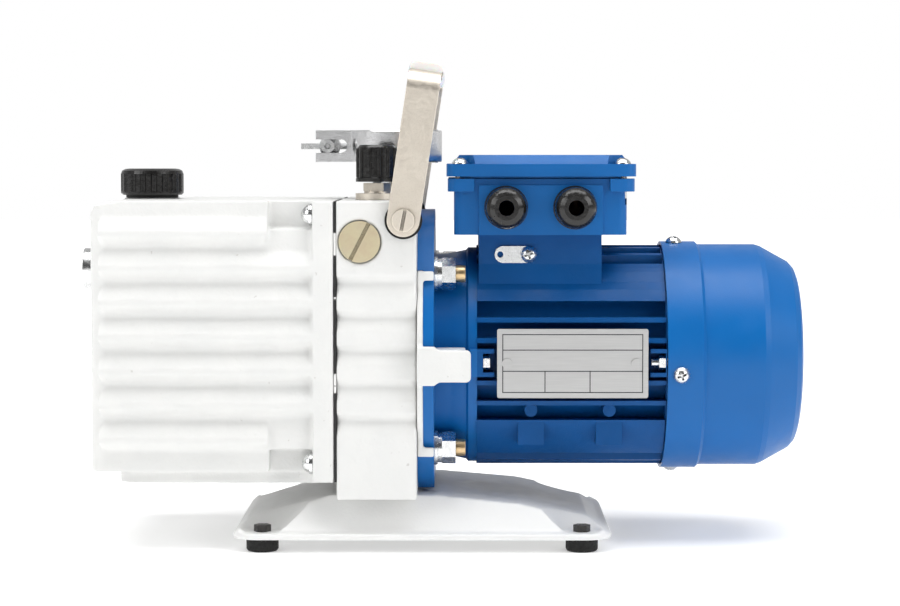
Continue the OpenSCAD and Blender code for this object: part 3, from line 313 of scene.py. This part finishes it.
def yellow_zinc(name, colour, dull):
    """Yellow chromate, whose iridescence drifts from straw to rose."""
    made = new_material(name, colour, 0.36, 1.0)
    tint(made, pattern(made, 6 * MM, detail=2), (0.62, 0.47, 0.34), dull)
    tint(made, pattern(made, 8 * MM, detail=2, low=0.5, high=0.8), (0.68, 0.66, 0.50), dull)
    vary_roughness(made, pattern(made, 1.5 * MM, detail=3), 0.3, 0.45)
    # painted shade: near black down in the slots
    tint(made, crevice_shade(made, 2.2 * MM), (0.02, 0.018, 0.012))
    bump(made, pattern(made, 0.5 * MM, detail=2), 0.004 * MM)
    return made


def polished_aluminium():
    made = new_material("polished_aluminium", (0.90, 0.90, 0.905), 0.18, 1.0)
    tint(made, pattern(made, 5 * MM, detail=3), (0.82, 0.82, 0.83), 0.5)
    vary_roughness(made, pattern(made, 1 * MM, stretch=(1, 1, 0.25), detail=3), 0.12, 0.24)
    bump(made, pattern(made, 0.7 * MM, stretch=(1, 1, 0.2), detail=2), 0.006 * MM)
    return made


def plate_aluminium():
    """Brushed lengthwise."""
    made = new_material("plate_aluminium", (0.56, 0.56, 0.555), 0.38, 1.0)
    tint(made, pattern(made, 0.25 * MM, stretch=(60, 1, 1), detail=3), (0.48, 0.48, 0.48), 0.5)
    vary_roughness(made, pattern(made, 0.25 * MM, stretch=(40, 1, 1), detail=3), 0.32, 0.46)
    bump(made, pattern(made, 0.2 * MM, stretch=(80, 1, 1), detail=2), 0.002 * MM)
    return made


def printed_ink():
    made = new_material("printed_ink", (0.02, 0.02, 0.022), 0.45)
    tint(made, pattern(made, 1 * MM, detail=3), (0.05, 0.05, 0.055), 0.6)
    vary_roughness(made, pattern(made, 0.8 * MM, detail=2), 0.38, 0.55)
    bump(made, pattern(made, 0.3 * MM, detail=2), 0.003 * MM)
    return made


def black_oxide():
    made = new_material("black_oxide", (0.022, 0.021, 0.020), 0.42)
    tint(made, pattern(made, 2 * MM, detail=3), (0.045, 0.040, 0.036), 0.6)
    vary_roughness(made, pattern(made, 1 * MM, detail=3), 0.34, 0.55)
    bump(made, pattern(made, 0.5 * MM, detail=2), 0.01 * MM)
    return made


def black_gloss():
    """Moulded phenolic: deep black, glossy, with faint swirls."""
    made = new_material("black_gloss", (0.0075, 0.0072, 0.007), 0.2)
    tint(made, pattern(made, 7 * MM, detail=3), (0.014, 0.013, 0.012), 0.6)
    vary_roughness(made, pattern(made, 2.5 * MM, detail=3), 0.14, 0.28)
    bump(made, pattern(made, 1.5 * MM, detail=2), 0.012 * MM)
    return made


def black_rubber():
    made = new_material("black_rubber", (0.009, 0.009, 0.009), 0.62)
    dull_shine(made, 0.3)
    tint(made, pattern(made, 3 * MM, detail=4), (0.018, 0.018, 0.017), 0.6)
    vary_roughness(made, pattern(made, 1 * MM, detail=3), 0.5, 0.75)
    bump(made, pattern(made, 0.5 * MM, detail=3), 0.02 * MM)
    return made


def painted_gasket():
    """Black gasket whose edge the white paint has bridged here and there."""
    made = new_material("painted_gasket", (0.012, 0.012, 0.012), 0.6)
    tint(made, pattern(made, 15 * MM, stretch=(4, 4, 1), detail=5, low=0.57, high=0.585), (0.76, 0.76, 0.745))
    vary_roughness(made, pattern(made, 1 * MM, detail=3), 0.45, 0.7)
    bump(made, pattern(made, 0.8 * MM, detail=3), 0.05 * MM)
    return made


def white_grip():
    made = new_material("white_grip", (0.84, 0.84, 0.83), 0.42)
    shader = shader_of(made)
    shader.inputs["Subsurface Weight"].default_value = 0.35
    shader.inputs["Subsurface Scale"].default_value = 2 * MM
    tint(made, pattern(made, 12 * MM, detail=2), (0.78, 0.78, 0.77), 0.5)
    vary_roughness(made, pattern(made, 2 * MM, detail=3), 0.36, 0.5)
    bump(made, pattern(made, 0.6 * MM, detail=2), 0.012 * MM)
    return made


def clear_glass():
    made = new_material("clear_glass", (0.93, 0.97, 0.95), 0.04)
    shader = shader_of(made)
    shader.inputs["Transmission Weight"].default_value = 1.0
    shader.inputs["IOR"].default_value = 1.5
    vary_roughness(made, pattern(made, 3 * MM, detail=3), 0.02, 0.09)
    bump(made, pattern(made, 4 * MM, detail=2), 0.01 * MM)
    return made


def machined_steel():
    made = new_material("machined_steel", (0.56, 0.56, 0.56), 0.3, 1.0)
    tint(made, pattern(made, 4 * MM, detail=3), (0.45, 0.45, 0.46), 0.5)
    vary_roughness(made, pattern(made, 0.6 * MM, stretch=(0.3, 1, 1), detail=3), 0.24, 0.4)
    bump(made, pattern(made, 0.4 * MM, stretch=(0.3, 4, 4), detail=2), 0.004 * MM)
    return made


def grey_iron():
    made = new_material("grey_iron", (0.20, 0.20, 0.21), 0.5, 1.0)
    tint(made, pattern(made, 3 * MM, detail=5), (0.12, 0.12, 0.12), 0.6)
    vary_roughness(made, pattern(made, 1.5 * MM, detail=3), 0.42, 0.6)
    bump(made, pattern(made, 0.8 * MM, detail=3), 0.02 * MM)
    return made


def core_steel():
    """Edges of the stacked electrical sheets."""
    made = new_material("core_steel", (0.17, 0.17, 0.18), 0.5, 1.0)
    tint(made, pattern(made, 0.5 * MM, stretch=(1, 60, 60), detail=1), (0.08, 0.08, 0.09), 0.8)
    vary_roughness(made, pattern(made, 2 * MM, detail=3), 0.42, 0.6)
    bump(made, pattern(made, 0.5 * MM, stretch=(1, 60, 60), detail=1), 0.04 * MM)
    return made


def copper_wire():
    made = new_material("copper_wire", (0.50, 0.17, 0.07), 0.35, 1.0)
    tint(made, pattern(made, 0.8 * MM, stretch=(1, 30, 30), detail=1), (0.26, 0.08, 0.035), 0.8)
    vary_roughness(made, pattern(made, 2 * MM, detail=3), 0.28, 0.45)
    bump(made, pattern(made, 0.8 * MM, stretch=(1, 30, 30), detail=1), 0.15 * MM)
    return made


def plain_moulding(name, colour, other):
    """Satin moulded plastic or rubber."""
    made = new_material(name, colour, 0.45)
    tint(made, pattern(made, 6 * MM, detail=4), other, 0.6)
    vary_roughness(made, pattern(made, 1.5 * MM, detail=3), 0.38, 0.55)
    bump(made, pattern(made, 0.6 * MM, detail=3), 0.012 * MM)
    return made


# ---- shape tools ----

def new_piece(name, mesh, material, body="root"):
    piece = bpy.data.objects.new(name, mesh)
    scene.collection.objects.link(piece)
    mesh.materials.clear()
    mesh.materials.append(material)
    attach(piece, body)
    return piece


def apply_modifiers(piece):
    graph = bpy.context.evaluated_depsgraph_get()
    done = bpy.data.meshes.new_from_object(piece.evaluated_get(graph))
    old = piece.data
    piece.modifiers.clear()
    piece.data = done
    bpy.data.meshes.remove(old)


def roughen(mesh, depth, size):
    """Sinks the surface by up to depth in a wandering pattern of the given size."""
    points = [vertex.co.copy() for vertex in mesh.vertices]
    normals = [vertex.normal.copy() for vertex in mesh.vertices]
    flat = []
    for point, normal in zip(points, normals):
        flat.extend(point - normal * (depth * (0.5 + 0.5 * noise.noise(point / size))))
    mesh.vertices.foreach_set("co", flat)
    mesh.update()


def soften(node, name, material, voxel, passes, lumps=0.0, lump_size=10 * MM, keep=0.5):
    """Makes a copy of a CAD node, soft like a painted casting, that stands for the node."""
    piece = new_piece(name, nodes[node].data.copy(), material)
    weld = piece.modifiers.new("weld", "WELD")
    weld.merge_threshold = WELD_GAP
    remesh = piece.modifiers.new("remesh", "REMESH")
    remesh.mode = "VOXEL"
    remesh.voxel_size = voxel
    smooth = piece.modifiers.new("smooth", "SMOOTH")
    smooth.factor = 0.5
    smooth.iterations = passes
    apply_modifiers(piece)
    if lumps:
        roughen(piece.data, lumps, lump_size)
    thin = piece.modifiers.new("thin", "DECIMATE")
    thin.ratio = keep
    apply_modifiers(piece)
    piece.data.polygons.foreach_set("use_smooth", [True] * len(piece.data.polygons))
    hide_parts(node)


def ease_edges(node, radius):
    """Rounds a CAD node's edges with modifiers, which leave its mesh as it is."""
    piece = nodes[node]
    weld = piece.modifiers.new("weld", "WELD")
    weld.merge_threshold = WELD_GAP
    flat = piece.modifiers.new("flat", "DECIMATE")
    flat.decimate_type = "DISSOLVE"
    flat.angle_limit = FLAT_WITHIN
    bevel = piece.modifiers.new("bevel", "BEVEL")
    bevel.width = radius
    bevel.segments = 2
    bevel.limit_method = "ANGLE"
    bevel.angle_limit = EDGE_FROM
    weighted = piece.modifiers.new("weighted", "WEIGHTED_NORMAL")
    weighted.keep_sharp = True
    weighted.weight = FACE_WEIGHT


def node_box(node):
    """Lowest and highest corner of a CAD node."""
    points = [nodes[node].matrix_world @ vertex.co for vertex in nodes[node].data.vertices]
    return [Vector([pick(p[axis] for p in points) for axis in range(3)]) for pick in (min, max)]


def print_plate(margin=2.4 * MM, line=0.45 * MM, proud=0.03 * MM):
    """Generic frame and rules printed on the rating plate."""
    low, high = node_box("nameplate")
    x0, x1, z0, z1 = low.x + margin, high.x - margin, low.z + margin, high.z - margin
    rules = [z0 + (z1 - z0) * share for share in (0.36, 0.72)]
    columns = [x0 + (x1 - x0) * share for share in (0.3, 0.62)]
    strips = [(x0, x1, z, z + line) for z in (z0, z1 - line, *rules)]
    strips += [(x, x + line, z0, z1) for x in (x0, x1 - line)]
    strips += [(x, x + line, z0, rules[0]) for x in columns]
    points, faces = [], []
    for a, b, c, d in strips:
        start = len(points)
        outline = ((a, c), (b, c), (b, d), (a, d))
        points += [(x, y, z) for y in (low.y - proud, low.y + proud) for x, z in outline]
        faces += [[start + i for i in face] for face in (
            (0, 1, 2, 3), (7, 6, 5, 4), (0, 4, 5, 1), (1, 5, 6, 2), (2, 6, 7, 3), (3, 7, 4, 0))]
    mesh = bpy.data.meshes.new("plate_print")
    mesh.from_pydata(points, [], faces)
    new_piece("plate_print", mesh, INK)


def paint(node, material):
    mesh = nodes[node].data
    mesh.materials.clear()
    mesh.materials.append(material)


# ---- the pump ----

add_camera()
set_tones()
add_world()
add_floor()
add_softbox("top_box", (0.0, -0.25, 1.5), (0, 0, 0.1), (2.0, 1.0), 27)
add_softbox("left_box", (-1.4, -1.0, 0.9), (0, 0, 0.1), (0.9, 0.9), 8.5)
add_softbox("right_box", (1.4, -1.0, 0.9), (0, 0, 0.1), (0.9, 0.9), 10)

WHITE = white_paint()
SHELL = white_shell_paint()
BLUE = blue_paint()
COWL = cowl_paint()
NICKEL = satin_nickel()
ZINC = bright_zinc()
PLUG = yellow_zinc("straw_zinc", (0.70, 0.62, 0.42), 0.35)
STUD = yellow_zinc("stud_zinc", (0.70, 0.50, 0.26), 0.3)
POLISHED = polished_aluminium()
PLATE = plate_aluminium()
INK = printed_ink()
OXIDE = black_oxide()
GLOSS = black_gloss()
RUBBER = black_rubber()
GASKET = painted_gasket()
GRIP = white_grip()
GLASS = clear_glass()
MACHINED = machined_steel()
IRON = grey_iron()
CORE = core_steel()
COPPER = copper_wire()
BROWN = plain_moulding("brown_moulding", (0.13, 0.05, 0.022), (0.08, 0.03, 0.014))
SPIDER = plain_moulding("red_rubber", (0.42, 0.04, 0.022), (0.30, 0.026, 0.015))
VANE = plain_moulding("vane_composite", (0.05, 0.033, 0.02), (0.03, 0.02, 0.012))

FINISHES = {
    "base_plate": SHELL, "pump_block": WHITE, "oil_case": WHITE, "side_brackets": WHITE,
    "rubber_feet": RUBBER, "base_bolts": OXIDE, "case_gasket": GASKET, "case_screws": ZINC,
    "sight_glass_bezel": ZINC, "sight_glass_lens": GLASS, "oil_cap": GLOSS, "cap_seal": RUBBER,
    "screw_plugs": PLUG, "handle": NICKEL, "handle_grip": GRIP, "handle_screws": NICKEL,
    "handle_washers": RUBBER, "inlet_port": POLISHED, "centring_ring": POLISHED, "inlet_o_ring": RUBBER,
    "clamp_front_half": POLISHED, "clamp_rear_half": POLISHED, "clamp_hinge_pin": ZINC, "clamp_bolt": ZINC,
    "clamp_washer": ZINC, "wing_nut": ZINC, "ballast_body": NICKEL, "ballast_stem": MACHINED,
    "ballast_knob": GLOSS, "stator_high_stage": IRON, "stator_low_stage": IRON, "stator_plates": IRON,
    "pump_rotor": MACHINED, "vanes": VANE, "vane_springs": MACHINED, "exhaust_valve": MACHINED,
    "shaft_seal": RUBBER, "coupling_halves": MACHINED, "coupling_spider": SPIDER, "front_shield": COWL,
    "motor_frame": BLUE, "rear_shield": BLUE, "stator_core": CORE, "windings": COPPER, "rotor_core": CORE,
    "motor_shaft": MACHINED, "motor_bearings": MACHINED, "fan": GLOSS, "fan_cowl": COWL,
    "cover_screws": ZINC, "shield_bolts": ZINC, "flange_studs": STUD, "flange_nuts": ZINC,
    "terminal_box": COWL, "box_lid": COWL, "terminal_block": BROWN, "cable_glands": GLOSS,
    "nameplate": PLATE, "nameplate_rivets": PLATE, "earth_lug": ZINC,
}
for name, finish in FINISHES.items():
    paint(name, finish)

soften("oil_case", "oil_case_casting", WHITE, 0.75 * MM, 3, lumps=0.2 * MM)
soften("pump_block", "pump_block_casting", WHITE, 0.9 * MM, 3, lumps=0.2 * MM)
soften("side_brackets", "side_bracket_castings", WHITE, 0.6 * MM, 2, lumps=0.1 * MM)
soften("base_plate", "base_shell", SHELL, 0.8 * MM, 8)

for name, radius in {
    "motor_frame": 0.45 * MM, "front_shield": 0.6 * MM, "terminal_box": 1.1 * MM, "box_lid": 1.3 * MM,
    "rear_shield": 0.5 * MM, "handle": 0.3 * MM, "handle_grip": 0.8 * MM, "handle_screws": 0.3 * MM,
    "screw_plugs": 0.25 * MM, "clamp_front_half": 0.5 * MM, "clamp_rear_half": 0.5 * MM,
    "inlet_port": 0.3 * MM, "flange_nuts": 0.3 * MM, "flange_studs": 0.4 * MM, "shield_bolts": 0.25 * MM,
    "base_bolts": 0.3 * MM, "ballast_body": 0.25 * MM, "ballast_knob": 0.3 * MM, "oil_cap": 0.35 * MM,
    "nameplate": 0.1 * MM, "earth_lug": 0.15 * MM, "wing_nut": 0.3 * MM, "sight_glass_bezel": 0.3 * MM,
    "cover_screws": 0.1 * MM, "case_screws": 0.1 * MM, "cable_glands": 0.3 * MM, "rubber_feet": 0.3 * MM,
}.items():
    ease_edges(name, radius)

print_plate()
